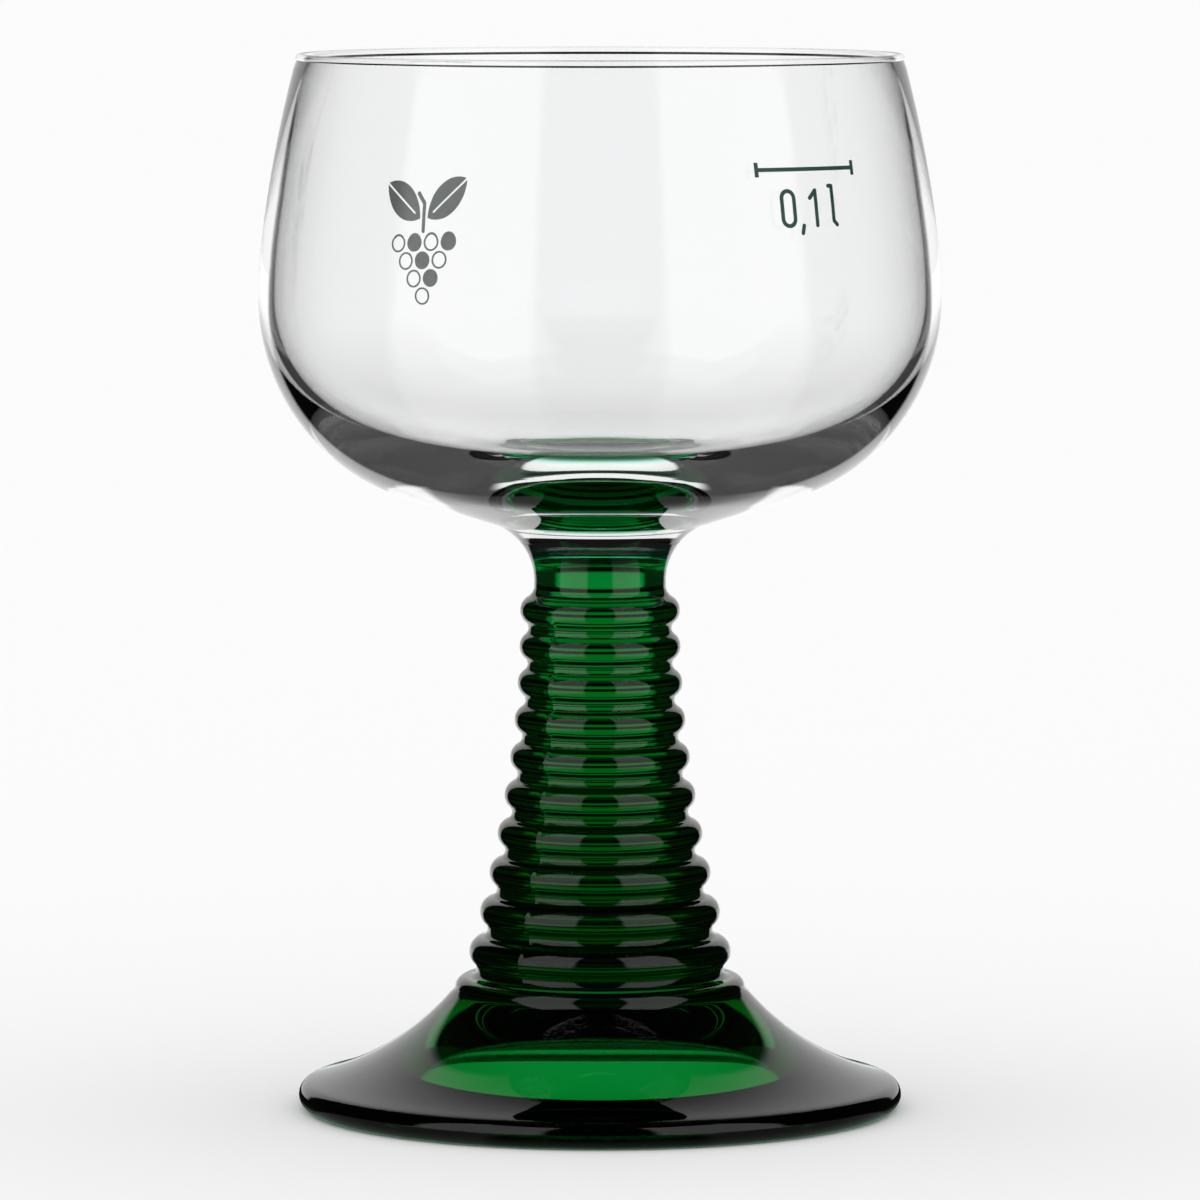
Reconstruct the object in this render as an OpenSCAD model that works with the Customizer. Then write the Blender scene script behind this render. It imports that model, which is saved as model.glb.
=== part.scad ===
// Roemer glass: a clear bowl fused to a green ringed stem and foot, with fired enamel marks.
// Units are millimetres. The axis is Z, the foot stands on Z = 0, and the front is -Y.
// Heights build up from the table: foot, rings, neck, joint, bowl.

/* [Foot] */
// Diameter of the foot
foot_d = 62.2; // [53.8:0.1:73.1]
// Rounding of the foot's edge
edge_round = 1.45; // [0.95:0.05:1.95]
// Width of the flat ring that rests on the table
rest_w = 10.85; // [2.4:0.05:13.5]
// Depth of the recess under the foot, on the axis
recess_h = 9.15; // [3.8:0.05:10]
// Radius of the hollow flare from the foot's edge up to the collar
flare_r = 28.6; // [23:0.1:38.5]
// Height of the collar's ledge above the table
ledge_z = 13.65; // [12.45:0.05:15.4]
// Width of the flat part of that ledge
ledge_w = 0.26; // [0.08:0.02:0.98]
// Rounding of the collar's lip
collar_round = 1.15; // [0.55:0.05:1.35]

/* [Rings] */
// Number of rings on the stem
ring_n = 10; // [4:1:12]
// Height of the lowest ring's crest above the ledge
ring_rise = 2.55; // [2.1:0.05:2.9]
// Step from the lowest ring to the next
ring_step = 4.12; // [3.74:0.01:4.23]
// Loss of that step from ring to ring on the way up
ring_step_loss = 0.05; // [0:0.005:0.06]
// Diameter over the lowest ring
ring_low_d = 27; // [21.1:0.05:30.8]
// Diameter over the uppermost ring
ring_top_d = 16.45; // [14.95:0.05:19.25]
// Rounding of the ring crests
ring_round = 1.6; // [1.4:0.05:1.75]
// Rounding of the grooves between the rings
groove_round = 0.8; // [0.65:0.05:1.1]

/* [Neck] */
// Smallest diameter of the stem, above the rings
neck_d = 13.55; // [11.5:0.05:14.65]
// Rounding from the uppermost ring up to the neck
throat_round = 1.35; // [0.95:0.05:1.95]
// Height of the straight part of the neck
neck_l = 0.5; // [0.15:0.05:3.85]
// Radius of the hollow curve from the neck up to the underside of the bowl
neck_round = 6.25; // [4.8:0.05:7.7]
// Height of the fused joint above the straight part of the neck
joint_up = 4; // [0.95:0.05:4.45]

/* [Bowl] */
// Height of the rim's top above the joint
bowl_h = 50.1; // [43.2:0.1:76.9]
// Height of the widest level, the belly, above the joint
belly_up = 25; // [23:0.1:34.6]
// Outer diameter at the belly
belly_d = 70; // [57.6:0.1:80.8]
// Outer diameter of the wall at the rim
rim_d = 62.1; // [51.8:0.1:67.3]
// Slope of the underside of the bowl, in degrees from level
under_slope = 17; // [8:0.5:25]
// Radius of the wall's curve just above the belly
shoulder_r = 55.5; // [43:0.5:86.5]
// Height of that curve, above which the wall runs up to the rim in one long arc
shoulder_h = 7.3; // [3.8:0.05:11.55]
// Wall thickness at the belly
belly_wall = 1.6; // [1.1:0.05:2.95]
// Wall thickness at the rim
rim_wall = 0.65; // [0.45:0.05:1.2]
// Height that the fire-polished bead stands out of the wall along the rim, on each side
rim_swell = 0.08; // [0.04:0.01:0.2]
// Radius of the inside curve below the belly
well_r = 16.45; // [11.5:0.05:19.25]
// Fall of the shallow dish from that curve to the axis
dish_fall = 3; // [1.4:0.05:4.85]

/* [Enamel marks] */
// Thickness of the fired enamel
enamel_t = 0.06; // [0.04:0.01:0.2]
// Clearance between the enamel and the glass
enamel_gap = 0.02; // [0.01:0.01:0.05]
// Width of the enamel strokes
stroke = 0.4; // [0.28:0.02:0.5]
// Angle of the fill mark around the axis, in degrees from +X
mark_angle = -52; // [-90:1:0]
// Distance from the rim down to the fill line
fill_drop = 10.85; // [7.65:0.05:13.5]
// Length of the fill line
fill_l = 12.6; // [7.65:0.05:15.4]
// Height of the ticks at its ends
fill_tick = 1.45; // [0.75:0.05:2.45]
// Distance from the fill line down to the middle of the figures
digit_drop = 3.85; // [3.25:0.05:5.8]
// Height of the figures
digit_h = 3.85; // [2.85:0.05:4.25]
// Width of the zero
zero_w = 1.85; // [1.3:0.05:2.35]
// Space between neighbouring figures
digit_space = 0.7; // [0.45:0.05:1.2]
// Angle of the emblem around the axis, in degrees from +X
emblem_angle = 124; // [90:1:180]
// Distance from the rim down to the middle of the emblem
emblem_drop = 22.1; // [17.1:0.05:25.4]
// Diameter of one berry of the emblem
berry_d = 1.9; // [1.3:0.05:2.35]
// Space between neighbouring berries
berry_space = 0.3; // [0.05:0.05:0.6]
// Length of each leaf of the emblem
leaf_l = 5.75; // [3.8:0.05:6.75]

/* [Hidden] */
$fn = 96;
// Greatest height of an arc over the chords that stand for it
chord_h = 0.012;

// Direction from p to q in degrees, from -180 to 180, and from 0 to 360
function way(p, q) = atan2(q[1] - p[1], q[0] - p[0]);
function full_way(p, q) = (way(p, q) + 360) % 360;
// Point at distance r from c in the direction a
function polar(c, r, a) = c + r * [cos(a), sin(a)];
// Points of the arc about c from direction a to direction b. A radius below 0 lies the other way from c
function arc(c, r, a, b) =
    let (n = ceil(abs(b - a) / (2 * acos(1 - chord_h / abs(r)))))
    [for (i = [0 : n]) polar(c, r, a + (b - a) * i / n)];
// The same arc with a point at direction 0, where its diameter is measured
function bulge(c, r, a, b) = concat(arc(c, r, a, 0), after(arc(c, r, 0, b)));
// A list without its first point, and in the other order
function after(l) = [for (i = [1 : len(l) - 1]) l[i]];
function backward(l) = [for (i = [len(l) - 1 : -1 : 0]) l[i]];
// Left of the way from p to q, where circles of radii rp and rq about them cross
function crossing(p, q, rp, rq) =
    let (l = norm(q - p), u = (q - p) / l, t = (rp * rp - rq * rq + l * l) / (2 * l))
    p + u * t + [-u[1], u[0]] * sqrt(rp * rp - t * t);

// Rings: middle of each crest, counted from the lowest
function ring_z(i) = ledge_z + ring_rise + ring_step * i - ring_step_loss * i * (i - 1) / 2;
function ring_grow(i) = pow((ring_n - 1 - i) / (ring_n - 1), 2);
function ring_r(i) = (ring_top_d + (ring_low_d - ring_top_d) * ring_grow(i)) / 2;
function ring_c(i) = [ring_r(i) - ring_round, ring_z(i)];
// Middle of the groove that touches ring i and the one above it
touch = ring_round + groove_round;
function groove_c(i) = crossing(ring_c(i + 1), ring_c(i), touch, touch);
// Groove between the lowest ring and the ledge
foot_groove_rise = groove_round - ring_rise;
foot_groove_c = ring_c(0) + [sqrt(touch * touch - foot_groove_rise * foot_groove_rise), foot_groove_rise];

// Neck: the rounding that touches the uppermost ring, and the hollow curve over it
neck_r = neck_d / 2;
throat_x = neck_r + throat_round;
throat_in = throat_x - ring_c(ring_n - 1)[0];
throat_touch = ring_round + throat_round;
throat_rise = sqrt(throat_touch * throat_touch - throat_in * throat_in);
throat_c = [throat_x, ring_z(ring_n - 1) + throat_rise];
neck_c = [neck_r + neck_round, throat_c[1] + neck_l];
neck_end = polar(neck_c, neck_round, 90 + under_slope);
joint_z = neck_c[1] + joint_up;
joint_way = 180 - asin(joint_up / neck_round);

// Levels of the bowl
rim_z = joint_z + bowl_h;
belly_z = joint_z + belly_up;
shoulder_z = belly_z + shoulder_h;
bead_r = rim_wall / 2 + rim_swell;
bead_z = rim_z - bead_r;

// Outside below the belly: the curve that touches the straight underside
belly_r = belly_d / 2;
under_rise = belly_z - neck_end[1] - (belly_r - neck_end[0]) * tan(under_slope);
lower_r = under_rise / (1 / cos(under_slope) - tan(under_slope));
lower_c = [belly_r - lower_r, belly_z];

// Wall above the belly, for a belly radius b and a rim radius e, grown by g. The upper arc bends in
// towards a narrow rim, and has a radius below 0 where the rim is wide and it bends out
shoulder_way = asin(shoulder_h / shoulder_r);
shoulder_n = -[cos(shoulder_way), sin(shoulder_way)];
function shoulder_c(b) = [b - shoulder_r, belly_z];
function shoulder_end(b) = polar(shoulder_c(b), shoulder_r, shoulder_way);
function upper_r(b, e) = let (d = [e, bead_z] - shoulder_end(b)) d * d / (2 * d * shoulder_n);
function upper_c(b, e) = shoulder_end(b) + shoulder_n * upper_r(b, e);
function rim_way(b, e) =
    upper_r(b, e) > 0 ? way(upper_c(b, e), [e, bead_z]) : way([e, bead_z], upper_c(b, e));
function wall(b, e, g) = concat(
    arc(shoulder_c(b), shoulder_r + g, 0, shoulder_way),
    after(arc(upper_c(b, e), upper_r(b, e) + g, shoulder_way, rim_way(b, e))));

// Inside below the belly: the curve and the dish that touches it
belly_in = belly_r - belly_wall;
rim_r = rim_d / 2;
rim_in = rim_r - rim_wall;
well_c = [belly_in - well_r, belly_z];
dish_r = (well_c * [well_c[0], 0] + dish_fall * (2 * well_r + dish_fall)) / (2 * dish_fall);
dish_c = [0, belly_z - well_r - dish_fall + dish_r];
well_way = way(dish_c, well_c);

// Outside from the straight underside to the rim, grown by g
function skin(g) = concat(
    arc(lower_c, lower_r + g, under_slope - 90, 0),
    after(wall(belly_r, rim_r, g)));

// Outlines of half a slice through the bowl, outside and inside, from the axis to the rim
bowl_out = concat(
    [[0, joint_z]],
    arc(neck_c, neck_round, joint_way, 90 + under_slope),
    skin(0));
bowl_in = concat(
    arc(dish_c, dish_r, -90, well_way),
    after(arc(well_c, well_r, well_way, 0)),
    after(wall(belly_in, rim_in, 0)));

// Foot: the edge, the flare that touches it, and the collar
edge_c = [foot_d / 2 - edge_round, edge_round];
collar_c = [foot_groove_c[0] + ledge_w, ledge_z - collar_round];
lip = collar_c + [collar_round, 0];
flare_c = crossing(lip, edge_c, flare_r, flare_r + edge_round);
recess_w = edge_c[0] - rest_w;
recess_r = (recess_w * recess_w + recess_h * recess_h) / (2 * recess_h);
recess_c = [0, recess_h - recess_r];

// Outline of half a slice through the stem and foot, from the recess on the axis to the joint
foot_out = concat(
    arc(recess_c, recess_r, 90, way(recess_c, [recess_w, 0])),
    bulge(edge_c, edge_round, -90, way(edge_c, flare_c)),
    after(arc(flare_c, flare_r, full_way(flare_c, edge_c), full_way(flare_c, lip))),
    after(arc(collar_c, collar_round, 0, 90)),
    arc(foot_groove_c, groove_round, 270, full_way(foot_groove_c, ring_c(0))));
function below(i) = i == 0 ? foot_groove_c : groove_c(i - 1);
function above(i) = i == ring_n - 1 ? throat_c : groove_c(i);
function crest(i) = bulge(ring_c(i), ring_round, way(ring_c(i), below(i)), way(ring_c(i), above(i)));
function groove(i) =
    arc(groove_c(i), groove_round, full_way(groove_c(i), ring_c(i)), full_way(groove_c(i), ring_c(i + 1)));
ring_out = [for (i = [0 : ring_n - 1])
    each concat(after(crest(i)), i < ring_n - 1 ? after(groove(i)) : [])];
neck_out = concat(
    after(arc(throat_c, throat_round, full_way(throat_c, ring_c(ring_n - 1)), 180)),
    arc(neck_c, neck_round, 180, joint_way),
    [[0, joint_z]]);

// Levels of the enamel marks
fill_z = rim_z - fill_drop;
digit_z = fill_z - digit_drop;
emblem_z = rim_z - emblem_drop;

module bowl() {
    color([0.9, 0.94, 0.94, 0.4])
        rotate_extrude() {
            polygon(concat(bowl_out, backward(bowl_in)));
            translate([(rim_r + rim_in) / 2, bead_z]) circle(r = bead_r);
        }
}

module stem_foot() {
    color([0.05, 0.45, 0.16, 0.8])
        rotate_extrude() polygon(concat(foot_out, ring_out, neck_out));
}

// Thin layer of enamel on the bowl, cut to the flat outline given, at level z and angle a
module enamel(z, a) {
    color([0.08, 0.22, 0.17])
        intersection() {
            rotate_extrude()
                polygon(concat(skin(enamel_gap), backward(skin(enamel_gap + enamel_t))));
            rotate([0, 0, a])
                translate([belly_r / 2, 0, z])
                    rotate([90, 0, 90])
                        linear_extrude(belly_r) children();
        }
}

// Round-ended stroke from p to q
module line(p, q) {
    translate(p) circle(d = stroke);
    translate(q) circle(d = stroke);
    translate(p)
        rotate(way(p, q))
            translate([0, -stroke / 2]) square([norm(q - p), stroke]);
}

module fill_line() {
    enamel(fill_z, mark_angle) {
        square([fill_l, stroke], center = true);
        for (s = [-1, 1])
            translate([s * (fill_l - stroke) / 2, 0]) square([stroke, fill_tick], center = true);
    }
}

// Upright shape with round ends, of width w and height h
module oval(w, h) {
    square([w, h - w], center = true);
    for (s = [-1, 1]) translate([0, s * (h - w) / 2]) circle(d = w);
}

module capacity_digits() {
    // Middle lines of the figures, from the zero's middle at x = 0
    top = (digit_h - stroke) / 2;
    comma_x = zero_w / 2 + digit_space;
    flag = digit_h * 0.19;
    one_x = comma_x + digit_space + stroke + flag;
    l_x = one_x + digit_space + 2 * stroke + flag;
    enamel(digit_z, mark_angle)
        translate([-l_x / 2, 0]) {
            difference() {
                oval(zero_w, digit_h);
                oval(zero_w - 2 * stroke, digit_h - 2 * stroke);
            }
            line([comma_x + stroke / 4, -top], [comma_x - stroke / 4, -top - flag]);
            line([one_x, -top], [one_x, top]);
            line([one_x - flag, top - flag], [one_x, top]);
            line([l_x, stroke - top], [l_x, top + stroke]);
            line([l_x - stroke, top + stroke], [l_x, top + stroke]);
            line([l_x, stroke - top], [l_x + stroke, -top]);
        }
}

// Pointed leaf with a bare middle vein, along +X from the origin
module leaf() {
    r = leaf_l * 0.62;
    h = sqrt(r * r - leaf_l * leaf_l / 4);
    difference() {
        intersection_for (s = [-1, 1]) translate([leaf_l / 2, s * h]) circle(r = r);
        translate([leaf_l * 0.14, -stroke / 4]) square([leaf_l, stroke / 2]);
    }
}

// One berry, filled or drawn as a ring
module berry(filled) {
    difference() {
        circle(d = berry_d);
        if (!filled) circle(d = berry_d - stroke);
    }
}

module emblem() {
    // Four rows of berries hang under a stalk with a leaf on each side
    step = berry_d + berry_space;
    top = 0.65 * step;
    enamel(emblem_z, emblem_angle) {
        for (row = [0 : 3])
            for (k = [0 : 3 - row])
                translate([(k - (3 - row) / 2) * step, top - row * step * sqrt(3) / 2])
                    berry((row + k) % 2 == 0);
        line([0, top + step / 2], [0, top + step * 1.6]);
        line([0, top + step * 1.6], [stroke * 2, top + step * 2]);
        for (s = [-1, 1])
            translate([s * (stroke / 2 + berry_space), top + step]) rotate(90 - s * 55) leaf();
    }
}

bowl();
stem_foot();
fill_line();
capacity_digits();
emblem();
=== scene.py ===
"""Looks of the roemer glass: clear bowl, green ringed stem and foot, enamel marks, and the studio."""
import logging
import math
from collections.abc import Callable, Sequence
from dataclasses import dataclass
from enum import Enum

import bpy
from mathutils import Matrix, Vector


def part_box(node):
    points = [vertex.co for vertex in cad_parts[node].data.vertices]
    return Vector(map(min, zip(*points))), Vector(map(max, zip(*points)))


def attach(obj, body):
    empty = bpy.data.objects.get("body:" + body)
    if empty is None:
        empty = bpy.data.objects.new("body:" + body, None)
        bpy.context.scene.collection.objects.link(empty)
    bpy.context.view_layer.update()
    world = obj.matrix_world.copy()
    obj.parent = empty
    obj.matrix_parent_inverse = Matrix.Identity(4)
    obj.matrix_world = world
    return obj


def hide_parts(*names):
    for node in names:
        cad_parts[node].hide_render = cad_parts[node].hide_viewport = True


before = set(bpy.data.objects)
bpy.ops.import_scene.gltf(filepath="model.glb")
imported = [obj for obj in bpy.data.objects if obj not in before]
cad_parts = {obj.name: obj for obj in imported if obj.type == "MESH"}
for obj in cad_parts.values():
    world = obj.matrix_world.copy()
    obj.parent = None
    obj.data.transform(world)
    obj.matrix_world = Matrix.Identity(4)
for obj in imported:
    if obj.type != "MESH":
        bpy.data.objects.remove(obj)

LOG = logging.getLogger("roemer_glass")
MM = 0.001
# Lengths below this count as nothing, in millimetres
TINY = 1e-6
# Levels closer than this count as one, in millimetres
LEVEL_SLACK = 0.005
# Steps from the axis to the edge of the fused faces
JOINT_STEPS = 4
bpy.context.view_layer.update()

Point = tuple[float, float]
Place = tuple[float, float, float]
Colour = tuple[float, float, float, float]
# Outward shift at a radius, level and direction
Relief = Callable[[float, float, float], float]
# Whether a level is that of a fused face
Marked = Callable[[float], bool]

WHITE: Colour = (1.0, 1.0, 1.0, 1.0)


class Node(Enum):
    """Solids of the frame."""

    BOWL = "bowl"
    STEM_FOOT = "stem_foot"
    FILL_LINE = "fill_line"
    CAPACITY_DIGITS = "capacity_digits"
    EMBLEM = "emblem"


class Slot(Enum):
    """Material slots of the pieces."""

    CLEAR_GLASS = "clear_glass"
    GREEN_GLASS = "green_glass"
    GREEN_ENAMEL = "green_enamel"


# Shader trees


class Wire:
    """A value in a shader tree. Arithmetic on it adds Math nodes."""

    def __init__(self, bench: "Bench", socket: bpy.types.NodeSocket) -> None:
        """Keeps the bench that adds the nodes, and the socket that gives the value."""
        self.bench, self.socket = bench, socket

    def math(self, operation: str, *others: "Wire | float") -> "Wire":
        """Result of a Math node on this value and the others."""
        return self.bench.math(operation, self, *others)

    def __add__(self, other: "Wire | float") -> "Wire":
        """Sum."""
        return self.math("ADD", other)

    def __radd__(self, other: float) -> "Wire":
        """Sum with a number on the left."""
        return self.math("ADD", other)

    def __sub__(self, other: "Wire | float") -> "Wire":
        """Difference."""
        return self.math("SUBTRACT", other)

    def __rsub__(self, other: float) -> "Wire":
        """Difference from a number."""
        return self.bench.math("SUBTRACT", other, self)

    def __mul__(self, other: "Wire | float") -> "Wire":
        """Product."""
        return self.math("MULTIPLY", other)

    def __rmul__(self, other: float) -> "Wire":
        """Product with a number on the left."""
        return self.math("MULTIPLY", other)

    def __abs__(self) -> "Wire":
        """Absolute value."""
        return self.math("ABSOLUTE")


class Bench:
    """Adds nodes to one shader tree."""

    def __init__(self, tree: bpy.types.NodeTree) -> None:
        """Empties the tree and keeps it."""
        self.tree = tree
        tree.nodes.clear()

    def node(
        self,
        kind: str,
        settings: dict[str, object] | None = None,
        inputs: dict[str | int, object] | None = None,
    ) -> bpy.types.Node:
        """Adds one node.

        Args:
            kind: Type of the node, without the ShaderNode prefix.
            settings: Properties of the node, set first.
            inputs: Values or wires of its sockets, by name or place.

        Returns:
            The node.
        """
        made = self.tree.nodes.new("ShaderNode" + kind)
        for key, value in (settings or {}).items():
            setattr(made, key, value)
        for key, value in (inputs or {}).items():
            if isinstance(value, Wire):
                self.tree.links.new(value.socket, made.inputs[key])
            else:
                made.inputs[key].default_value = value
        return made

    def wire(self, node: bpy.types.Node, output: str | int = 0) -> Wire:
        """An output of a node as a wire."""
        return Wire(self, node.outputs[output])

    def math(self, operation: str, *values: Wire | float) -> Wire:
        """Result of a Math node on the values given."""
        return self.wire(self.node("Math", {"operation": operation}, dict(enumerate(values))))

    def ramped(
        self, value: Wire | float, low: Wire | float, high: Wire | float, start: float = 0.0, end: float = 1.0
    ) -> Wire:
        """A value that eases from start to end while another runs from low to high.

        Args:
            value: The value that runs.
            low: Where the easing begins.
            high: Where it ends.
            start: Result up to low.
            end: Result from high on.

        Returns:
            The eased value.
        """
        ends = {"Value": value, "From Min": low, "From Max": high, "To Min": start, "To Max": end}
        return self.wire(self.node("MapRange", {"interpolation_type": "SMOOTHSTEP"}, ends))

    def mixed(self, way: str, factor: Wire | float, low: Wire | Colour, high: Wire | Colour) -> Wire:
        """Result of a Mix node on two colours, in one of its ways of blending."""
        sides = {0: factor, 6: low, 7: high}
        return self.wire(self.node("Mix", {"data_type": "RGBA", "blend_type": way}, sides), 2)

    def blended(self, factor: Wire, low: Wire | Colour, high: Wire | Colour) -> Wire:
        """A colour between two, by a factor."""
        return self.mixed("MIX", factor, low, high)

    def lit(self, colour: Wire, level: Wire) -> Wire:
        """A colour times a level."""
        return self.mixed("MULTIPLY", 1.0, colour, level)


# Turned shapes


@dataclass(frozen=True)
class Round:
    """A circle in the half slice of a turned piece, in millimetres.

    Attributes:
        r: Distance of its middle from the axis.
        z: Level of its middle.
        size: Its radius.
    """

    r: float
    z: float
    size: float

    def at(self, way: float) -> Point:
        """Point of the circle in a direction in degrees."""
        angle = math.radians(way)
        return self.r + self.size * math.cos(angle), self.z + self.size * math.sin(angle)

    def way(self, point: Point) -> float:
        """Direction to a point in degrees, from -180 to 180."""
        return math.degrees(math.atan2(point[1] - self.z, point[0] - self.r))

    def full_way(self, point: Point) -> float:
        """Direction to a point in degrees, from 0 to 360."""
        return self.way(point) % 360

    @property
    def middle(self) -> Point:
        """Middle of the circle."""
        return self.r, self.z

    def arc(self, start: float, end: float, step: float) -> list[Point]:
        """Points of an arc.

        Args:
            start: Direction of the first point, in degrees.
            end: Direction of the last point.
            step: Greatest turn between neighbouring points, in degrees.

        Returns:
            The points in order.
        """
        count = max(2, math.ceil(abs(end - start) / step))
        return [self.at(start + (end - start) * i / count) for i in range(count + 1)]


def crossing(first: Round, second: Round) -> Point:
    """Point where two circles cross, left of the way from the first middle to the second.

    Args:
        first: One circle.
        second: The other circle.

    Returns:
        The crossing point.
    """
    across, up = second.r - first.r, second.z - first.z
    apart = math.hypot(across, up)
    along = (first.size**2 - second.size**2 + apart**2) / (2 * apart)
    aside = math.sqrt(first.size**2 - along**2)
    return (
        first.r + (across * along - up * aside) / apart,
        first.z + (up * along + across * aside) / apart,
    )


def spread(start: Point, end: Point, count: int) -> list[Point]:
    """Evenly spaced points of a straight line, with both ends.

    Args:
        start: First point.
        end: Last point.
        count: Number of steps.

    Returns:
        The points in order.
    """
    return [
        (start[0] + (end[0] - start[0]) * i / count, start[1] + (end[1] - start[1]) * i / count)
        for i in range(count + 1)
    ]


@dataclass
class Lathe:
    """Turns half slices into closed meshes.

    Attributes:
        columns: Number of even columns around the axis.
        fine: Directions in degrees that get closer columns.
        fine_half: Half width of the closer columns, in degrees.
        fine_step: Turn between closer columns, in degrees.
        sharp: Edges that bend by more than this angle stay sharp, in degrees.
    """

    columns: int = 216
    fine: tuple[float, ...] = ()
    fine_half: float = 3.2
    fine_step: float = 0.4
    sharp: float = 38.0

    def turns(self) -> list[float]:
        """Directions of all columns.

        Returns:
            The directions in degrees, rising.
        """
        even = [360 * i / self.columns for i in range(self.columns)]
        steps = round(self.fine_half / self.fine_step)
        close = [(a + self.fine_step * i) % 360 for a in self.fine for i in range(-steps, steps + 1)]

        def near(turn: float) -> bool:
            """Whether a direction lies among the closer columns."""
            return any(abs((turn - a + 180) % 360 - 180) < self.fine_half + self.fine_step for a in self.fine)

        return sorted([turn for turn in even if not near(turn)] + close)

    def rings(self, outline: Sequence[Point], relief: Relief) -> tuple[list[Place], list[list[int]]]:
        """Corners of a turned outline.

        Args:
            outline: Points of the half slice in millimetres.
            relief: Outward shift in millimetres at a radius, level and direction.

        Returns:
            The corners in metres, and the corners' numbers for each point of the outline.
        """
        turns = self.turns()
        verts: list[Place] = []
        rings: list[list[int]] = []
        for r, z in outline:
            ring = []
            for turn in turns if r > TINY else turns[:1]:
                out = r + relief(r, z, turn) if r > TINY else 0.0
                angle = math.radians(turn)
                ring.append(len(verts))
                verts.append((out * math.cos(angle) * MM, out * math.sin(angle) * MM, z * MM))
            rings.append(ring)
        return verts, rings

    @staticmethod
    def strip(low: list[int], high: list[int]) -> list[tuple[int, ...]]:
        """Faces between two neighbouring rings, one of which may be a point on the axis.

        Args:
            low: Corners of the ring that comes first in the outline.
            high: Corners of the next ring.

        Returns:
            The faces around the axis.
        """
        count = max(len(low), len(high))
        faces: list[tuple[int, ...]] = []
        for i in range(count):
            j = (i + 1) % count
            if len(low) == 1:
                faces.append((low[0], high[j], high[i]))
            elif len(high) == 1:
                faces.append((low[i], low[j], high[0]))
            else:
                faces.append((low[i], low[j], high[j], high[i]))
        return faces

    def spin(self, name: str, outline: Sequence[Point], relief: Relief, marked: Marked) -> bpy.types.Object:
        """Turns an outline that starts and ends on the axis.

        Args:
            name: Name of the object.
            outline: Points of the half slice in millimetres, with the body on the left.
            relief: Outward shift in millimetres at a radius, level and direction.
            marked: Whether a face whose points lie on one level is a fused face.

        Returns:
            The object, in the scene.
        """
        verts, rings = self.rings(outline, relief)
        faces: list[tuple[int, ...]] = []
        fused: list[float] = []
        for (low, high), (p, q) in zip(zip(rings, rings[1:]), zip(outline, outline[1:])):
            around = self.strip(low, high)
            faces += around
            fused += [float(abs(p[1] - q[1]) < TINY and marked(p[1]))] * len(around)
        mesh = bpy.data.meshes.new(name)
        mesh.from_pydata(verts, [], faces)
        mesh.attributes.new("fused", "FLOAT", "FACE").data.foreach_set("value", fused)
        mesh.shade_smooth()
        mesh.set_sharp_from_angle(angle=math.radians(self.sharp))
        mesh.validate()
        made = bpy.data.objects.new(name, mesh)
        bpy.context.scene.collection.objects.link(made)
        return made


# Finishes


@dataclass(frozen=True)
class Glass:
    """Clear or coloured glass.

    Attributes:
        name: Name of the material.
        tint: Colour of its surface.
        taken: Share of red, green and blue that it takes out, per millimetre.
        ior: Index of refraction.
        wave: Height of its surface waves, in millimetres.
        wave_size: Length of those waves, in millimetres.
        rough: Roughness of its surface, nothing where it is pressed in a polished mould.
    """

    name: str
    tint: Colour
    taken: tuple[float, float, float] | None = None
    ior: float = 1.52
    wave: float = 0.002
    wave_size: float = 9.0
    rough: float = 0.0

    def material(self) -> bpy.types.Material:
        """Makes the finish, which lets light pass straight through the fused faces.

        Returns:
            The material.
        """
        made = bpy.data.materials.new(self.name)
        made.use_nodes = True
        bench = Bench(made.node_tree)
        place = bench.wire(bench.node("TexCoord"), "Object")
        scale = 1 / (self.wave_size * MM)
        noise = bench.wire(bench.node("TexNoise", None, {"Vector": place, "Scale": scale, "Detail": 1.0}))
        bump = bench.node("Bump", None, {"Strength": 1.0, "Distance": self.wave * MM, "Height": noise})
        glass = bench.node(
            "BsdfPrincipled",
            None,
            {
                "Base Color": self.tint,
                "Roughness": self.rough,
                "IOR": self.ior,
                "Transmission Weight": 1.0,
                "Normal": bench.wire(bump),
            },
        )
        through = bench.node(
            "BsdfPrincipled",
            None,
            {"Base Color": WHITE, "Roughness": 0.0, "IOR": 1.0, "Transmission Weight": 1.0},
        )
        fused = bench.wire(bench.node("Attribute", {"attribute_name": "fused"}), "Fac")
        mix = bench.node("MixShader", None, {0: fused, 1: bench.wire(glass), 2: bench.wire(through)})
        out = {"Surface": bench.wire(mix)}
        if self.taken:
            most = max(self.taken)
            kept = [1 - t / most for t in self.taken]
            body = bench.node("VolumeAbsorption", None, {"Color": (*kept, 1), "Density": most / MM})
            out["Volume"] = bench.wire(body)
        bench.node("OutputMaterial", None, out)
        return made


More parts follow.
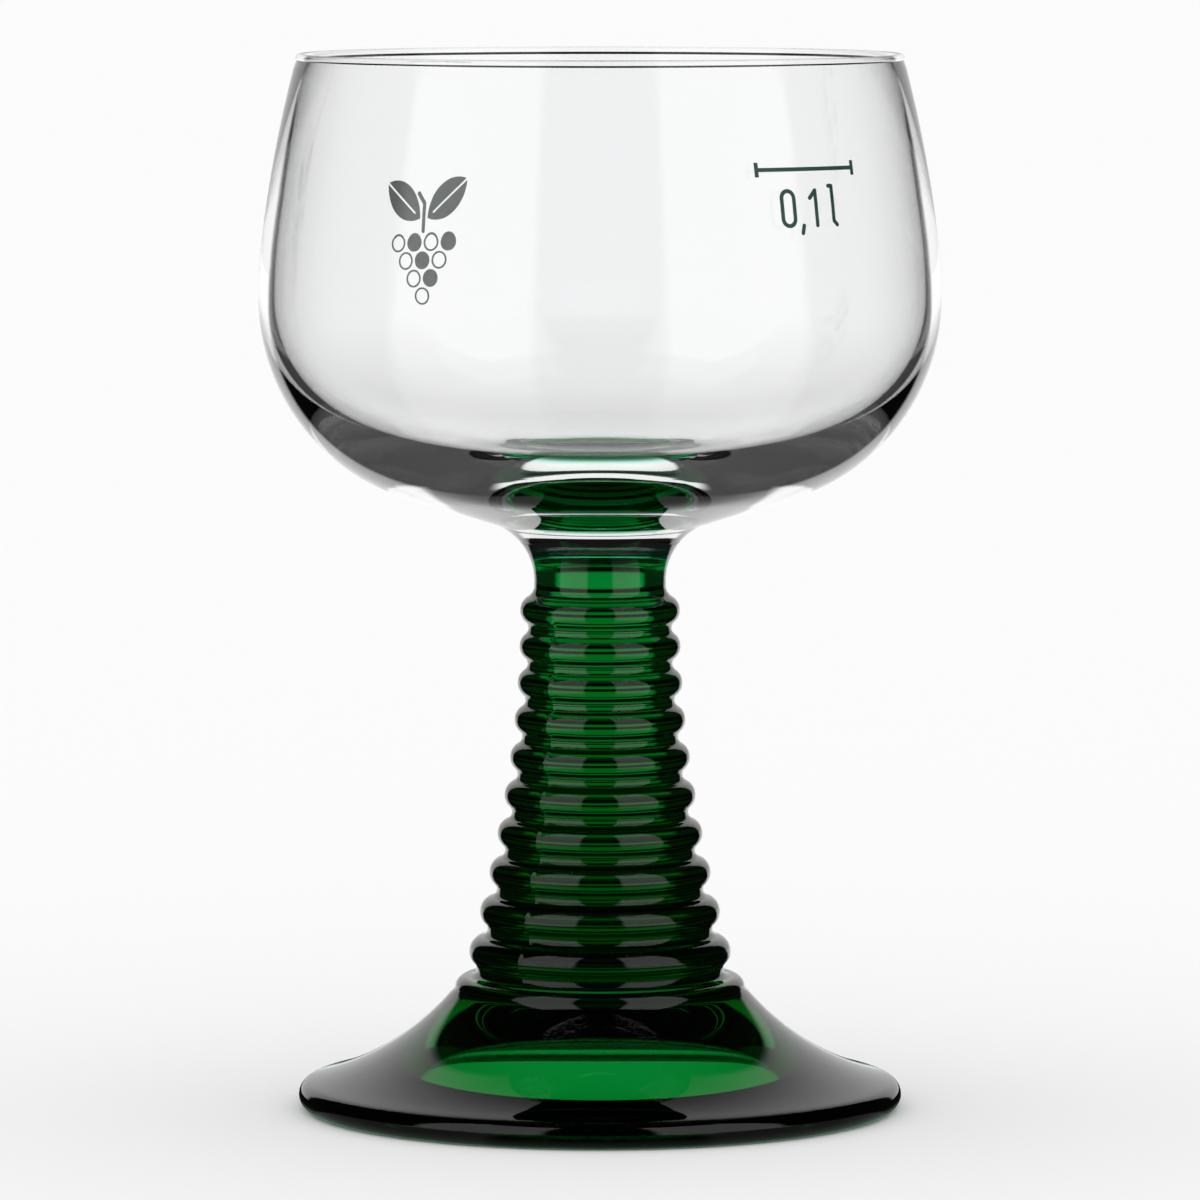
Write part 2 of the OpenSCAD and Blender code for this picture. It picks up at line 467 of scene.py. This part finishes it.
@dataclass(frozen=True)
class Enamel:
    """Fired enamel of the printed marks.

    Attributes:
        name: Name of the material.
        colour: Its colour.
        shades: Shares of that colour in its darkest and lightest spots.
        spots: Number of spots in a metre.
        smooth: Roughness of its smoothest spots.
        matt: Roughness of its dullest spots.
        noise_low: Noise up to which it is smoothest.
        noise_high: Noise from which it is dullest.
    """

    name: str = Slot.GREEN_ENAMEL.value
    colour: tuple[float, float, float] = (0.014, 0.062, 0.046)
    shades: tuple[float, float] = (0.7, 1.4)
    spots: float = 900.0
    smooth: float = 0.3
    matt: float = 0.5
    noise_low: float = 0.3
    noise_high: float = 0.7

    def material(self) -> bpy.types.Material:
        """Makes the finish, with an uneven shade and gloss.

        Returns:
            The material.
        """
        made = bpy.data.materials.new(self.name)
        made.use_nodes = True
        bench = Bench(made.node_tree)
        place = bench.wire(bench.node("TexCoord"), "Object")
        noise_node = bench.node("TexNoise", None, {"Vector": place, "Scale": self.spots, "Detail": 2.0})
        noise = bench.wire(noise_node)
        dark, light = ((*(share * c for c in self.colour), 1) for share in self.shades)
        rough = bench.ramped(noise, self.noise_low, self.noise_high, self.smooth, self.matt)
        shade = bench.blended(noise, dark, light)
        enamel = bench.node("BsdfPrincipled", None, {"Base Color": shade, "Roughness": rough})
        bench.node("OutputMaterial", None, {"Surface": bench.wire(enamel)})
        return made


# Sub-assemblies


@dataclass
class StemFoot:
    """Green stem with its rings, collar and flared foot, in millimetres and degrees.

    Attributes:
        foot_d: Diameter of the foot.
        joint_z: Level of the joint with the bowl.
        edge_round: Rounding of the foot's edge.
        rest_w: Width of the flat ring under the foot.
        recess_h: Height of the dome under the foot.
        flare_r: Radius of the hollow flare.
        ledge_z: Level of the ledge on the collar.
        ledge_w: Width of the ledge beside the lowest groove.
        collar_round: Rounding of the collar.
        ring_n: Number of rings.
        ring_rise: Height of the lowest crest over the ledge.
        ring_step: Distance between the lowest two crests.
        ring_step_loss: Loss of that distance from ring to ring.
        ring_low_d: Diameter of the lowest ring.
        ring_top_d: Diameter of the uppermost ring.
        ring_round: Rounding of the crests.
        groove_round: Rounding of the grooves.
        neck_d: Diameter of the neck.
        throat_round: Rounding between the uppermost ring and the neck.
        neck_l: Length of the straight neck.
        neck_round: Radius of the hollow curve from the neck up to the bowl.
        seam_turn: Direction of one mould seam, with the other one opposite.
        seam_h: Height of the seams.
        seam_half: Half width of the seams.
        seam_low: Distance over the ledge from which the seams show.
        seam_high: Distance under the joint up to which the seams show.
        recess_arc: Greatest turn between neighbouring points of the dome.
        flare_arc: The same for the flare.
        edge_arc: The same for the edge and the collar.
        groove_arc: The same for the grooves.
        ring_arc: The same for the crests and the throat.
        neck_arc: The same for the curve up to the bowl.
        finish: Its glass.
    """

    foot_d: float
    joint_z: float
    edge_round: float = 1.45
    rest_w: float = 10.85
    recess_h: float = 9.15
    flare_r: float = 28.6
    ledge_z: float = 13.65
    ledge_w: float = 0.26
    collar_round: float = 1.15
    ring_n: int = 10
    ring_rise: float = 2.55
    ring_step: float = 4.12
    ring_step_loss: float = 0.05
    ring_low_d: float = 27.0
    ring_top_d: float = 16.45
    ring_round: float = 1.6
    groove_round: float = 0.8
    neck_d: float = 13.55
    throat_round: float = 1.35
    neck_l: float = 0.5
    neck_round: float = 6.25
    seam_turn: float = 232.0
    seam_h: float = 0.1
    seam_half: float = 0.28
    seam_low: float = 0.6
    seam_high: float = 7.7
    recess_arc: float = 0.6
    flare_arc: float = 1.5
    edge_arc: float = 8.0
    groove_arc: float = 9.0
    ring_arc: float = 7.0
    neck_arc: float = 3.0
    finish: Glass = Glass(Slot.GREEN_GLASS.value, WHITE, (0.5, 0.121, 0.27), wave=0.003)

    @classmethod
    def from_frame(cls) -> "StemFoot":
        """The stem and foot in the sizes of the frame's solid."""
        low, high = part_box(Node.STEM_FOOT.value)
        return cls(foot_d=(high.x - low.x) / MM, joint_z=high.z / MM)

    @property
    def seams(self) -> tuple[float, float]:
        """Directions of both mould seams."""
        return self.seam_turn % 360, (self.seam_turn - 180) % 360

    def ring(self, index: int) -> Round:
        """Crest circle of one ring.

        Args:
            index: Number of the ring, counted from the lowest.

        Returns:
            The circle.
        """
        grow = ((self.ring_n - 1 - index) / (self.ring_n - 1)) ** 2
        r = (self.ring_top_d + (self.ring_low_d - self.ring_top_d) * grow) / 2
        lost = self.ring_step_loss * index * (index - 1) / 2
        z = self.ledge_z + self.ring_rise + self.ring_step * index - lost
        return Round(r - self.ring_round, z, self.ring_round)

    def groove(self, index: int) -> Round:
        """Circle of the groove above one ring.

        Args:
            index: Number of the ring, counted from the lowest.

        Returns:
            The circle.
        """
        touch = self.ring_round + self.groove_round
        above, below = self.ring(index + 1), self.ring(index)
        r, z = crossing(Round(above.r, above.z, touch), Round(below.r, below.z, touch))
        return Round(r, z, self.groove_round)

    def foot_groove(self) -> Round:
        """Circle of the groove between the lowest ring and the ledge.

        Returns:
            The circle.
        """
        lowest = self.ring(0)
        touch = self.ring_round + self.groove_round
        rise = self.groove_round - self.ring_rise
        return Round(lowest.r + math.sqrt(touch**2 - rise**2), lowest.z + rise, self.groove_round)

    def throat(self) -> Round:
        """Circle of the rounding between the uppermost ring and the neck.

        Returns:
            The circle.
        """
        top = self.ring(self.ring_n - 1)
        r = self.neck_d / 2 + self.throat_round
        touch = self.ring_round + self.throat_round
        return Round(r, top.z + math.sqrt(touch**2 - (r - top.r) ** 2), self.throat_round)

    def neck(self) -> Round:
        """Circle of the hollow curve from the neck up to the bowl."""
        level = self.throat().z + self.neck_l
        return Round(self.neck_d / 2 + self.neck_round, level, self.neck_round)

    def foot_outline(self) -> list[Point]:
        """Half slice from the dome on the axis to the lowest ring.

        Returns:
            The points in order.
        """
        edge = Round(self.foot_d / 2 - self.edge_round, self.edge_round, self.edge_round)
        groove = self.foot_groove()
        collar = Round(groove.r + self.ledge_w, self.ledge_z - self.collar_round, self.collar_round)
        lip = collar.at(0)
        reach = self.flare_r + self.edge_round
        flare = Round(*crossing(Round(*lip, self.flare_r), Round(*edge.middle, reach)), self.flare_r)
        recess_w = edge.r - self.rest_w
        recess_r = (recess_w**2 + self.recess_h**2) / (2 * self.recess_h)
        recess = Round(0, self.recess_h - recess_r, recess_r)
        points = recess.arc(90, recess.way((recess_w, 0)), self.recess_arc)
        points[0] = (0.0, points[0][1])
        points += edge.arc(-90, edge.way(flare.middle), self.edge_arc)
        points += flare.arc(flare.full_way(edge.middle), flare.full_way(lip), self.flare_arc)[1:]
        points += collar.arc(0, 90, self.edge_arc)[1:]
        points += groove.arc(270, groove.full_way(self.ring(0).middle), self.groove_arc)
        return points

    def outline(self) -> list[Point]:
        """Half slice from the dome on the axis to the joint on the axis.

        Returns:
            The points in order.
        """
        points = self.foot_outline()
        below = self.foot_groove()
        for index in range(self.ring_n):
            ring = self.ring(index)
            last = index == self.ring_n - 1
            above = self.throat() if last else self.groove(index)
            points += ring.arc(ring.way(below.middle), ring.way(above.middle), self.ring_arc)[1:]
            start = above.full_way(ring.middle)
            if last:
                points += above.arc(start, 180, self.ring_arc)[1:]
            else:
                points += above.arc(start, above.full_way(self.ring(index + 1).middle), self.groove_arc)[1:]
            below = above
        neck = self.neck()
        joint_way = 180 - math.degrees(math.asin((self.joint_z - neck.z) / neck.size))
        points += neck.arc(180, joint_way, self.neck_arc)
        joint_r = points.pop()[0]
        points += spread((joint_r, self.joint_z), (0, self.joint_z), JOINT_STEPS)
        return points

    def relief(self, r: float, z: float, turn: float) -> float:
        """Outward shift of the seams that the mould leaves along the rings.

        Args:
            r: Distance from the axis.
            z: Level.
            turn: Direction in degrees.

        Returns:
            The shift in millimetres.
        """
        if not self.ledge_z + self.seam_low < z < self.joint_z - self.seam_high:
            return 0.0
        height = 0.0
        for seam in self.seams:
            aside = math.radians((turn - seam + 180) % 360 - 180) * r
            height += self.seam_h * math.exp(-((aside / self.seam_half) ** 2))
        return height

    def fused(self, z: float) -> bool:
        """Whether a level is that of the joint."""
        return abs(z - self.joint_z) < LEVEL_SLACK

    def build(self) -> bpy.types.Object:
        """Makes the piece and sets it in place of its solid.

        Returns:
            The piece.
        """
        piece = Lathe(fine=self.seams).spin("stem_foot_glass", self.outline(), self.relief, self.fused)
        piece.data.materials.append(self.finish.material())
        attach(piece, "root")
        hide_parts(Node.STEM_FOOT.value)
        return piece


@dataclass
class Bowl:
    """Clear bowl with its thick base, in millimetres and degrees.

    Attributes:
        belly_d: Diameter at the belly.
        joint_z: Level of the joint with the stem.
        rim_z: Level of the rim.
        stem: The stem, whose hollow curve runs on into the bowl.
        joint_gap: Gap that keeps the fused faces apart.
        belly_up: Height of the belly over the joint.
        rim_d: Diameter at the rim.
        under_slope: Rise of the straight underside.
        shoulder_r: Radius of the wall above the belly.
        shoulder_h: Height of that part of the wall.
        belly_wall: Thickness of the wall at the belly.
        rim_wall: Thickness of the wall at the rim.
        rim_swell: Swelling of the rim's bead over the wall.
        well_r: Radius of the inside below the belly.
        dish_fall: Fall of the shallow dish from there to the axis.
        under_steps: Number of steps along the underside.
        neck_arc: Greatest turn between neighbouring points of the curve up from the stem.
        lower_arc: The same for the outside below the belly.
        shoulder_arc: The same for the wall above the belly.
        upper_arc: The same for the wall below the rim.
        bead_arc: The same for the bead.
        well_arc: The same for the inside below the belly.
        dish_arc: The same for the dish.
        bead_clear: Share of the bead's radius within which the wall has no points.
        bead_trim: Turn on the bead that is left out beside the wall.
        finish: Its glass, rough enough to be told from the stem's and too little to show.
    """

    belly_d: float
    joint_z: float
    rim_z: float
    stem: StemFoot
    joint_gap: float = 0.02
    belly_up: float = 25.0
    rim_d: float = 62.1
    under_slope: float = 17.0
    shoulder_r: float = 55.5
    shoulder_h: float = 7.3
    belly_wall: float = 1.6
    rim_wall: float = 0.65
    rim_swell: float = 0.08
    well_r: float = 16.45
    dish_fall: float = 3.0
    under_steps: int = 8
    neck_arc: float = 3.0
    lower_arc: float = 1.5
    shoulder_arc: float = 0.8
    upper_arc: float = 0.5
    bead_arc: float = 9.0
    well_arc: float = 2.0
    dish_arc: float = 0.4
    bead_clear: float = 1.02
    bead_trim: float = 22.0
    finish: Glass = Glass(Slot.CLEAR_GLASS.value, (0.994, 0.996, 1.0, 1), rough=0.006)

    @classmethod
    def from_frame(cls, stem: StemFoot) -> "Bowl":
        """The bowl in the sizes of the frame's solid, on its stem."""
        low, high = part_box(Node.BOWL.value)
        return cls(belly_d=(high.x - low.x) / MM, joint_z=low.z / MM, rim_z=high.z / MM, stem=stem)

    @property
    def belly_z(self) -> float:
        """Level of the belly."""
        return self.joint_z + self.belly_up

    @property
    def fused_z(self) -> float:
        """Level of the fused face."""
        return self.joint_z + self.joint_gap

    @property
    def inside_r(self) -> float:
        """Radius of the inside at the belly."""
        return self.belly_d / 2 - self.belly_wall

    def wall(self, belly: float, rim: float, bead_z: float) -> list[Point]:
        """One face of the wall from the belly up to the bead.

        Args:
            belly: Its radius at the belly.
            rim: Its radius at the bead.
            bead_z: Level of the bead's middle.

        Returns:
            Points in rising order.
        """
        shoulder = Round(belly - self.shoulder_r, self.belly_z, self.shoulder_r)
        way = math.degrees(math.asin(self.shoulder_h / self.shoulder_r))
        end = shoulder.at(way)
        inward = (-math.cos(math.radians(way)), -math.sin(math.radians(way)))
        across, up = rim - end[0], bead_z - end[1]
        size = (across**2 + up**2) / (2 * (across * inward[0] + up * inward[1]))
        upper = Round(end[0] + inward[0] * size, end[1] + inward[1] * size, size)
        rim_way = upper.way((rim, bead_z))
        return shoulder.arc(0, way, self.shoulder_arc) + upper.arc(way, rim_way, self.upper_arc)[1:]

    def underside(self) -> list[Point]:
        """Half slice from the joint on the axis up the outside to the belly.

        Returns:
            The points in order.
        """
        neck = self.stem.neck()
        slope = math.radians(self.under_slope)
        belly_r = self.belly_d / 2
        neck_end = neck.at(90 + self.under_slope)
        rise = self.belly_z - neck_end[1] - (belly_r - neck_end[0]) * math.tan(slope)
        lower_r = rise / (1 / math.cos(slope) - math.tan(slope))
        lower = Round(belly_r - lower_r, self.belly_z, lower_r)
        joint_way = 180 - math.degrees(math.asin((self.joint_z - neck.z) / neck.size))
        points = spread((0, self.fused_z), (neck.at(joint_way)[0], self.fused_z), JOINT_STEPS)
        points += neck.arc(joint_way, 90 + self.under_slope, self.neck_arc)[1:]
        points += spread(neck_end, lower.at(self.under_slope - 90), self.under_steps)[1:]
        points += lower.arc(self.under_slope - 90, 0, self.lower_arc)[1:]
        return points

    def sides(self) -> list[Point]:
        """Half slice from the belly up the outside, over the bead and down the inside to the belly.

        Returns:
            The points in order.
        """
        rim_r = self.rim_d / 2
        rim_in = rim_r - self.rim_wall
        bead_size = self.rim_wall / 2 + self.rim_swell
        bead = Round((rim_r + rim_in) / 2, self.rim_z - bead_size, bead_size)

        def clear(point: Point) -> bool:
            """Whether a point lies outside the bead."""
            return math.dist(point, bead.middle) > bead.size * self.bead_clear

        up = [p for p in self.wall(self.belly_d / 2, rim_r, bead.z)[1:] if clear(p)]
        down = [p for p in reversed(self.wall(self.inside_r, rim_in, bead.z)) if clear(p)]
        start, end = bead.way(up[-1]) + self.bead_trim, bead.full_way(down[0]) - self.bead_trim
        return up + bead.arc(start, end, self.bead_arc) + down

    def inside(self) -> list[Point]:
        """Half slice from the belly down the inside to the axis.

        Returns:
            The points in order.
        """
        well = Round(self.inside_r - self.well_r, self.belly_z, self.well_r)
        dish_r = (well.r**2 + self.dish_fall * (2 * self.well_r + self.dish_fall)) / (2 * self.dish_fall)
        dish = Round(0, self.belly_z - self.well_r - self.dish_fall + dish_r, dish_r)
        well_way = dish.way(well.middle)
        points = well.arc(0, well_way, self.well_arc)[1:] + dish.arc(well_way, -90, self.dish_arc)[1:]
        points[-1] = (0.0, points[-1][1])
        return points

    def outline(self) -> list[Point]:
        """Half slice from the joint on the axis over the rim to the inside on the axis."""
        return self.underside() + self.sides() + self.inside()

    @staticmethod
    def relief(r: float, z: float, turn: float) -> float:
        """The bowl is true all round."""
        return 0.0

    def fused(self, z: float) -> bool:
        """Whether a level is that of the fused face."""
        return abs(z - self.fused_z) < LEVEL_SLACK

    def build(self) -> bpy.types.Object:
        """Makes the piece and sets it in place of its solid.

        Returns:
            The piece.
        """
        piece = Lathe().spin("bowl_glass", self.outline(), self.relief, self.fused)
        piece.data.materials.append(self.finish.material())
        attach(piece, "root")
        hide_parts(Node.BOWL.value)
        return piece


@dataclass
class EnamelMarks:
    """Printed marks on the bowl.

    Attributes:
        nodes: The frame's solids of the marks.
        finish: Their enamel.
    """

    nodes: tuple[Node, ...] = (Node.FILL_LINE, Node.CAPACITY_DIGITS, Node.EMBLEM)
    finish: Enamel = Enamel()

    def dress(self) -> list[bpy.types.Object]:
        """Gives the marks their finish.

        Returns:
            The marks.
        """
        material = self.finish.material()
        pieces = [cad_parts[node.value] for node in self.nodes]
        for piece in pieces:
            piece.data.materials.clear()
            piece.data.materials.append(material)
        return pieces


@dataclass
class Studio:
    """Floor, surroundings and camera, in metres and degrees.

    The floor and the sky are plain and pale. The room that the thick glass and the mirror images show
    is painted: dark, with a white panel behind the glass and one on each side of the camera. These
    panels light nothing; they are painted reflections in the glass and painted light seen through it.

    Attributes:
        floor_half: Half width of the floor.
        floor_drop: Depth of the floor under the foot.
        floor_colour: Share of light that the floor gives back.
        sky: Level of the sky.
        dark: Level of the room between its panels.
        back_half: Half of the back panel's angle.
        back_top: Rise of the back panel's top in mirror images.
        back_soft: Half width of that top's soft edge.
        back_light: Level of the back panel.
        back_gloss: Level of the back panel in mirror images.
        sweep_top: Rise of the back panel's top through the glass.
        side_turn: Turn from the back panel to the middle of each side panel.
        side_half: Half of a side panel's angle.
        side_top: Rise of the side panels' top.
        side_light: Level of the side panels.
        under_r: Radius of the floor under the foot, where a pool of green light is painted.
        under_soft: Half width of its soft edge.
        painted_pool_level: Level of that painted light.
        painted_pool_hue: Colour of that painted light.
        near_r: Radius of the painted shade on the floor around the foot.
        far_r: Radius from which the floor is in full light, past the painted shade.
        near_light: Share of light on the floor in the painted shade.
        mirror_near_r: Radius of the painted shade in mirror images.
        mirror_far_r: Radius of full light in mirror images.
        soft: Half width of the panels' soft edges.
        thin_walls: Number of glass faces behind which the sky shows as it is.
        thin_top: Rise up to which it does.
        thin_turns: Number of turns in the glass up to which it does.
        turned_top: Rise up to which it does after a turn in the glass.
        edge_half: Half of the back panel's angle after a turn in the glass.
        dim: Level of the room beside the back panel, through the glass.
        dim_low: Rise up to which that level holds.
        dim_high: Rise from which the room is dark.
        camera_at: Place of the camera.
        camera_to: Place that it looks at.
        view_angle: Angle of its view.
        view_end: Farthest distance that it sees.
        sensor: Width of its sensor, in millimetres.
        bounces: Number of times that light may be passed on.
        through_bounces: Number of glass faces that light may pass.
        mirror_bounces: Number of times that light may be mirrored.
    """

    floor_half: float = 3.0
    floor_drop: float = 0.00002
    floor_colour: float = 0.97
    sky: float = 1.0
    dark: float = 0.008
    back_half: float = 31.0
    back_top: float = 46.0
    back_soft: float = 25.0
    back_light: float = 1.0
    back_gloss: float = 0.75
    sweep_top: float = 12.0
    side_turn: float = 132.0
    side_half: float = 26.0
    side_top: float = 60.0
    side_light: float = 0.85
    under_r: float = 0.03
    under_soft: float = 0.003
    painted_pool_level: float = 0.5
    painted_pool_hue: Colour = (0.08, 1.0, 0.38, 1.0)
    near_r: float = 0.09
    far_r: float = 0.17
    near_light: float = 0.15
    mirror_near_r: float = 0.05
    mirror_far_r: float = 0.12
    soft: float = 2.5
    thin_walls: float = 3.5
    thin_top: float = 10.0
    thin_turns: float = 1.5
    turned_top: float = 35.0
    edge_half: float = 27.0
    dim: float = 0.08
    dim_low: float = 20.0
    dim_high: float = 40.0
    camera_at: Place = (0.0, -0.8735, 0.1289)
    camera_to: Place = (0.0, 0.0, 0.0525)
    view_angle: float = 8.05
    view_end: float = 20.0
    sensor: float = 36.0
    bounces: int = 32
    through_bounces: int = 28
    mirror_bounces: int = 16

    @property
    def backdrop(self) -> float:
        """Level of the background, the same as that of the lit floor."""
        return self.sky * self.floor_colour

    def rays(self, bench: Bench, rise: Wire | float) -> tuple[Wire, Wire, Wire, Wire]:
        """Kinds of rays that are told apart.

        A ray is singular behind the smooth stem but not behind the bowl, whose single wall is thin.

        Args:
            bench: Bench of the tree.
            rise: Angle at which a ray rises, in degrees.

        Returns:
            Share of mirrored rays, share of rays that have left thick glass, whether a ray was turned
            back in it, and the share of the panels that shows, which is nothing in a mirror image of a
            mirror image.
        """
        path = bench.node("LightPath")
        through = bench.wire(path, "Is Transmission Ray")
        turns = bench.wire(path, "Glossy Depth")
        turned = turns.math("GREATER_THAN", 0.5)
        top = self.thin_top + turned * (self.turned_top - self.thin_top)
        low = bench.ramped(rise, self.thin_top - self.soft, top + self.soft, 1.0, 0.0)
        walls = bench.wire(path, "Transmission Depth").math("GREATER_THAN", self.thin_walls)
        once = turns.math("LESS_THAN", self.thin_turns)
        single = (1 - bench.wire(path, "Is Singular Ray")) * (1 - turned)
        thin = walls.math("MAXIMUM", single)
        thick = through * (1 - thin * low * once)
        mirrored = bench.wire(path, "Is Glossy Ray") * (1 - through)
        return mirrored, thick, turned, 1 - mirrored * (1 - once)

    def seen_half(self, thick: Wire, turned: Wire) -> Wire:
        """Half of the back panel's angle, which is less for rays that were turned back inside the glass."""
        return self.back_half + thick * turned * (self.edge_half - self.back_half)

    def gloom(self, thick: Wire, back: Wire) -> Wire:
        """Level of the room between its panels, which is a little lighter beside the back panel."""
        return self.dark + thick * (1 - back) * (self.dim - self.dark)

    def panels(self, bench: Bench, x: Wire, y: Wire, half: Wire) -> tuple[Wire, Wire]:
        """Shares of the back panel and of the side panels in a direction on the ground.

        Args:
            bench: Bench of the tree.
            x: Part of the direction to the right.
            y: Part of the direction to the back.
            half: Half of the back panel's angle.

        Returns:
            The two shares.
        """
        turn = abs(bench.math("ARCTAN2", x, y) * (180 / math.pi))
        aside = abs(turn - self.side_turn)
        back = bench.ramped(turn, half - self.soft, half + self.soft, 1.0, 0.0)
        return back, bench.ramped(aside, self.side_half - self.soft, self.side_half + self.soft, 1.0, 0.0)

    def floor_material(self) -> bpy.types.Material:
        """Makes the floor's finish, matt and pale. Where the glass shows it, the floor glows instead with
        painted light: the room's panels, a painted shade around the foot and a painted pool of green light
        under it.

        Returns:
            The material.
        """
        made = bpy.data.materials.new("floor")
        made.use_nodes = True
        bench = Bench(made.node_tree)
        matt = bench.node("BsdfDiffuse", None, {"Color": (*[self.floor_colour] * 3, 1)})
        parts = bench.node("SeparateXYZ", None, {0: bench.wire(bench.node("NewGeometry"), "Position")})
        x, y = bench.wire(parts, 0), bench.wire(parts, 1)
        mirrored, thick, turned, shown = self.rays(bench, rise=-90.0)
        back, sides = self.panels(bench, x, y, self.seen_half(thick, turned))
        apart = (x * x + y * y).math("SQRT")
        # Painted shade on the floor around the foot, which only the glass shows
        near = self.near_r + mirrored * (self.mirror_near_r - self.near_r)
        far = self.far_r + mirrored * (self.mirror_far_r - self.far_r)
        painted_shade = bench.ramped(apart, near, far, self.near_light, 1.0)
        # Painted pool of green light on the floor under the foot, a glow that only the glass shows
        under = bench.ramped(apart, self.under_r - self.under_soft, self.under_r + self.under_soft, 1.0, 0.0)
        # Painted light of the room's panels on the floor, which only the glass shows
        lit = (back * self.back_light + sides * self.side_light) * shown
        level = self.gloom(thick, back) + lit * painted_shade
        level = level + under * (self.painted_pool_level - level)
        painted_hue = bench.blended(under, WHITE, self.painted_pool_hue)
        glow = bench.node("Emission", None, {"Color": bench.lit(painted_hue, level), "Strength": 1.0})
        mix = bench.node("MixShader", None, {0: mirrored + thick, 1: bench.wire(matt), 2: bench.wire(glow)})
        bench.node("OutputMaterial", None, {"Surface": bench.wire(mix)})
        return made

    def floor(self) -> bpy.types.Object:
        """Lays the pale floor under the foot.

        Returns:
            The floor.
        """
        h = self.floor_half
        mesh = bpy.data.meshes.new("floor")
        mesh.from_pydata([(-h, -h, 0), (h, -h, 0), (h, h, 0), (-h, h, 0)], [], [(0, 1, 2, 3)])
        mesh.materials.append(self.floor_material())
        made = bpy.data.objects.new("floor", mesh)
        bpy.context.scene.collection.objects.link(made)
        made.location.z = -self.floor_drop
        return made

    def surroundings(self) -> None:
        """Sets the plain sky, and the painted room with its painted panels, which only the glass shows."""
        world = bpy.data.worlds.new("studio")
        bpy.context.scene.world = world
        world.use_nodes = True
        bench = Bench(world.node_tree)
        parts = bench.node("SeparateXYZ", None, {0: bench.wire(bench.node("TexCoord"), "Generated")})
        x, y, z = (bench.wire(parts, i) for i in range(3))
        rise = z.math("ARCSINE") * (180 / math.pi)
        mirrored, thick, turned, shown = self.rays(bench, rise)
        back, sides = self.panels(bench, x, y, self.seen_half(thick, turned))
        soft = self.soft + mirrored * (self.back_soft - self.soft)
        top = self.sweep_top + mirrored * (self.back_top - self.sweep_top)
        light = self.back_light + mirrored * (self.back_gloss - self.back_light)
        gloom = self.gloom(thick * bench.ramped(rise, self.dim_low, self.dim_high, 1.0, 0.0), back)
        back = back * bench.ramped(rise, top - soft, top + soft, 1.0, 0.0)
        sides = sides * bench.ramped(rise, self.side_top - self.soft, self.side_top + self.soft, 1.0, 0.0)
        # Painted room: panels and gloom that only the glass shows, and that light nothing
        room = gloom + (back * light + sides * self.side_light) * shown
        plain = self.sky + bench.wire(bench.node("LightPath"), "Is Camera Ray") * (self.backdrop - self.sky)
        level = plain + (mirrored + thick) * (room - plain)
        sky = bench.node("Background", None, {"Color": WHITE, "Strength": level})
        bench.node("OutputWorld", None, {"Surface": bench.wire(sky)})

    def camera(self) -> bpy.types.Object:
        """Sets the camera at the photograph's viewing angle.

        Returns:
            The camera.
        """
        data = bpy.data.cameras.new("camera")
        data.sensor_width = self.sensor
        data.lens = self.sensor / 2 / math.tan(math.radians(self.view_angle / 2))
        data.clip_end = self.view_end
        made = bpy.data.objects.new("camera", data)
        bpy.context.scene.collection.objects.link(made)
        made.location = self.camera_at
        fall = math.atan2(self.camera_at[2] - self.camera_to[2], self.camera_to[1] - self.camera_at[1])
        made.rotation_euler = (math.pi / 2 - fall, 0.0, 0.0)
        bpy.context.scene.camera = made
        return made

    def build(self) -> None:
        """Sets up the whole studio."""
        self.floor()
        self.surroundings()
        self.camera()
        scene = bpy.context.scene
        scene.view_settings.view_transform = "Standard"
        scene.cycles.max_bounces = self.bounces
        scene.cycles.transmission_bounces = self.through_bounces
        scene.cycles.glossy_bounces = self.mirror_bounces


def main() -> None:
    """Builds the glass and its studio, and reports each piece."""
    logging.basicConfig(level=logging.INFO, format="%(name)s: %(message)s")
    Studio().build()
    stem = StemFoot.from_frame()
    for piece in (stem.build(), Bowl.from_frame(stem).build(), *EnamelMarks().dress()):
        LOG.info("%s: %d faces", piece.name, len(piece.data.polygons))


if __name__ == "__main__":
    main()
